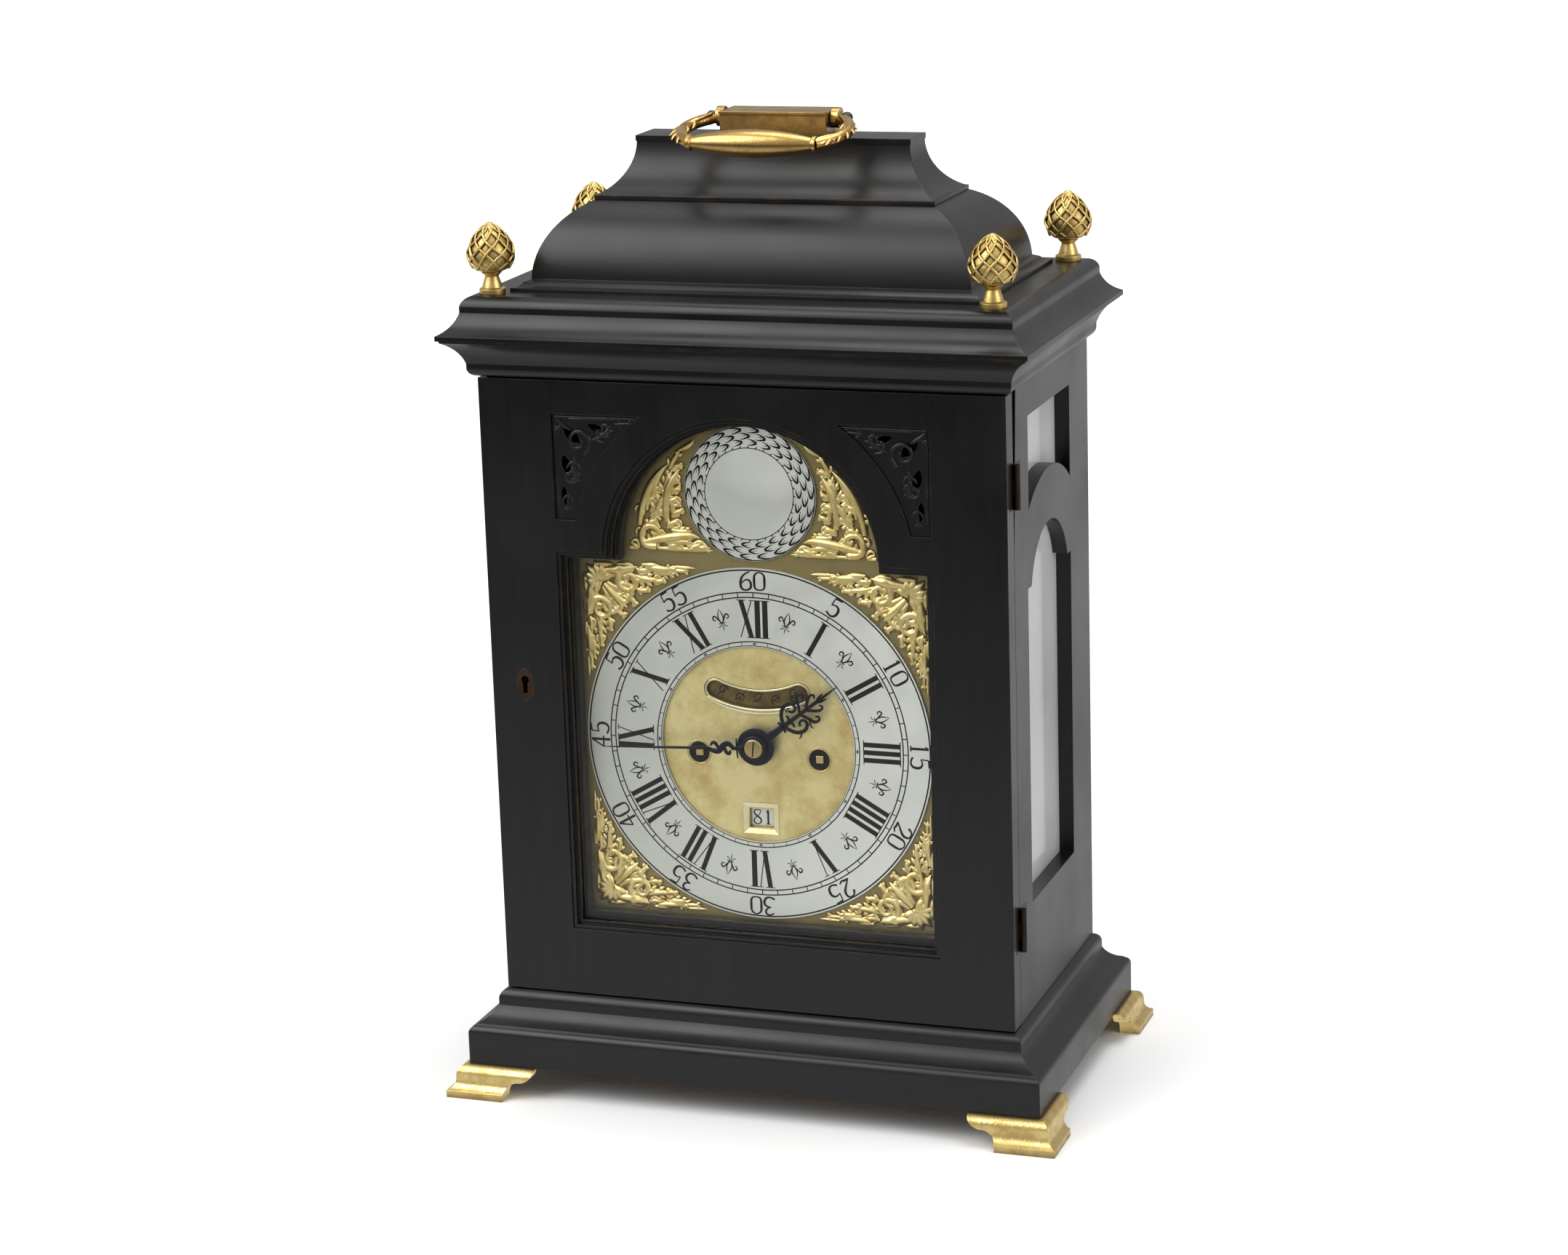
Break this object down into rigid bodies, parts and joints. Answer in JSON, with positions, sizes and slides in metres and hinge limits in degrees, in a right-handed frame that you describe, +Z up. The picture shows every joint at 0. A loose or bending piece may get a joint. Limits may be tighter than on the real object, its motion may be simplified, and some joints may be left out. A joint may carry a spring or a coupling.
{
  "type": "bracket clock",
  "caption": "Bell-topped bracket clock with glazed doors, an arched dial, swinging carrying handle, fusee movement with pendulum and strike bell.",
  "frame": {"origin": "centre of the base, on the surface it stands on", "axes": "+Z up, the dial and front door face -Y, +X to the right as seen from the front"},
  "size_m": [0.293, 0.1868, 0.4518],
  "materials": {
    "ebonised_wood": "satin",
    "oak": "satin",
    "gilt_brass": "satin",
    "brass": "satin",
    "brass_wheel": "satin",
    "silvered_brass": "satin",
    "blued_steel": "gloss",
    "steel": "satin",
    "bell_metal": "satin",
    "window_glass": "gloss",
    "dark_iron": "satin",
    "horn": "satin"
  },
  "bodies": {
    "case": {"bracket_feet": "gilt_brass", "base_moulding": "ebonised_wood", "base_board": "oak", "side_panel_left": "ebonised_wood", "side_panel_right": "ebonised_wood", "side_glass": "window_glass", "case_rails": "ebonised_wood", "cornice_moulding": "ebonised_wood", "top_board": "ebonised_wood", "bell_ovolo": "ebonised_wood", "bell_cavetto": "ebonised_wood", "bell_boards": "ebonised_wood", "finials": "gilt_brass", "handle_plinth": "brass", "handle_pins": "steel", "dial_mask": "ebonised_wood", "dial_plate": "brass", "chapter_ring": "silvered_brass", "dial_boss": "silvered_brass", "corner_castings": "gilt_brass", "arch_castings": "gilt_brass", "dial_fixings": "brass", "front_plate": "brass", "back_plate": "brass", "movement_pillars": "brass", "seat_board": "oak", "pendulum_cock": "brass", "strike_bell": "bell_metal", "bell_stand": "steel", "case_hinge_leaves": "dark_iron"},
    "front_door": {"door_frame": "ebonised_wood", "door_frets": "ebonised_wood", "glazing_bead": "ebonised_wood", "door_glass": "window_glass", "escutcheon": "horn", "lock_case": "brass", "door_hinge_leaves": "dark_iron"},
    "lock_bolt": {"lock_bolt": "steel"},
    "back_door": {"back_door": "ebonised_wood", "back_door_glass": "window_glass", "back_door_hinge_leaves": "dark_iron"},
    "carry_handle": {"carry_handle": "brass"},
    "minute_hand": {"minute_hand": "blued_steel", "hand_collet": "brass", "cannon_wheel": "brass"},
    "hour_hand": {"hour_hand": "blued_steel", "hour_wheel": "brass"},
    "minute_wheel": {"minute_wheel": "brass"},
    "date_disc": {"date_disc": "silvered_brass"},
    "going_barrel": {"going_barrel": "brass"},
    "strike_barrel": {"strike_barrel": "brass"},
    "going_fusee": {"going_fusee": "brass"},
    "strike_fusee": {"strike_fusee": "brass"},
    "centre_arbor": {"centre_arbor": "brass_wheel"},
    "third_wheel": {"third_wheel": "brass_wheel"},
    "escape_wheel": {"escape_wheel": "brass_wheel"},
    "pendulum": {"pallet_arbor": "steel", "pendulum": "brass"},
    "hammer": {"strike_hammer": "steel"}
  },
  "joints": [
    {"name": "front_door_hinge", "type": "hinge", "parent": "case", "child": "front_door", "pos_m": [0.1243, -0.0594, 0.0835], "axis": [0, 0, 1], "range_deg": [0, 120]},
    {"name": "lock_bolt_throw", "type": "slide", "parent": "front_door", "child": "lock_bolt", "axis": [-1, 0, 0], "range_m": [0, 0.004]},
    {"name": "back_door_hinge", "type": "hinge", "parent": "case", "child": "back_door", "pos_m": [0.1114, 0.0712, 0.0835], "axis": [0, 0, -1], "range_deg": [0, 120]},
    {"name": "handle_swing", "type": "hinge", "parent": "case", "child": "carry_handle", "pos_m": [0, 0, 0.4472], "axis": [-1, 0, 0], "range_deg": [0, 200]},
    {"name": "minute_hand_turn", "type": "hinge", "parent": "case", "child": "minute_hand", "pos_m": [0, -0.061, 0.17015], "axis": [0, 1, 0], "continuous": true},
    {"name": "hour_hand_turn", "type": "hinge", "parent": "case", "child": "hour_hand", "pos_m": [0, -0.0587, 0.17015], "axis": [0, 1, 0], "continuous": true},
    {"name": "minute_wheel_turn", "type": "hinge", "parent": "case", "child": "minute_wheel", "pos_m": [0, -0.0448, 0.19415], "axis": [0, 1, 0], "continuous": true},
    {"name": "date_disc_turn", "type": "hinge", "parent": "case", "child": "date_disc", "pos_m": [0, -0.0516, 0.11245], "axis": [0, 1, 0], "continuous": true},
    {"name": "third_wheel_turn", "type": "hinge", "parent": "case", "child": "third_wheel", "pos_m": [-0.00672, -0.0096, 0.19527], "axis": [0, 1, 0], "continuous": true},
    {"name": "centre_arbor_turn", "type": "hinge", "parent": "case", "child": "centre_arbor", "pos_m": [0, -0.0346, 0.17015], "axis": [0, 1, 0], "continuous": true},
    {"name": "escape_wheel_turn", "type": "hinge", "parent": "case", "child": "escape_wheel", "pos_m": [0, -0.0036, 0.21815], "axis": [0, 1, 0], "continuous": true},
    {"name": "going_fusee_turn", "type": "hinge", "parent": "case", "child": "going_fusee", "pos_m": [0.0288, -0.0196, 0.16475], "axis": [0, 1, 0], "continuous": true},
    {"name": "going_barrel_turn", "type": "hinge", "parent": "case", "child": "going_barrel", "pos_m": [0.028, -0.0096, 0.117], "axis": [0, 1, 0], "continuous": true},
    {"name": "strike_fusee_turn", "type": "hinge", "parent": "case", "child": "strike_fusee", "pos_m": [-0.0288, -0.0196, 0.16475], "axis": [0, 1, 0], "continuous": true},
    {"name": "strike_barrel_turn", "type": "hinge", "parent": "case", "child": "strike_barrel", "pos_m": [-0.028, -0.0096, 0.117], "axis": [0, 1, 0], "continuous": true},
    {"name": "pendulum_swing", "type": "hinge", "parent": "case", "child": "pendulum", "pos_m": [0, 0.0244, 0.24078], "axis": [0, 1, 0], "range_deg": [-4, 4]},
    {"name": "hammer_lift", "type": "hinge", "parent": "case", "child": "hammer", "pos_m": [0.04, -0.0076, 0.238], "axis": [0, 1, 0], "range_deg": [0, 14]}
  ],
  "couplings": [
    {"joint": "hour_hand_turn", "follows": "minute_hand_turn", "ratio": 0.083333},
    {"joint": "minute_wheel_turn", "follows": "minute_hand_turn", "ratio": -0.33333},
    {"joint": "centre_arbor_turn", "follows": "third_wheel_turn", "ratio": -0.083333},
    {"joint": "escape_wheel_turn", "follows": "third_wheel_turn", "ratio": -12.25},
    {"joint": "going_fusee_turn", "follows": "third_wheel_turn", "ratio": 0.010417},
    {"joint": "going_barrel_turn", "follows": "third_wheel_turn", "ratio": 0.0058936},
    {"joint": "strike_barrel_turn", "follows": "strike_fusee_turn", "ratio": 0.56579}
  ]
}
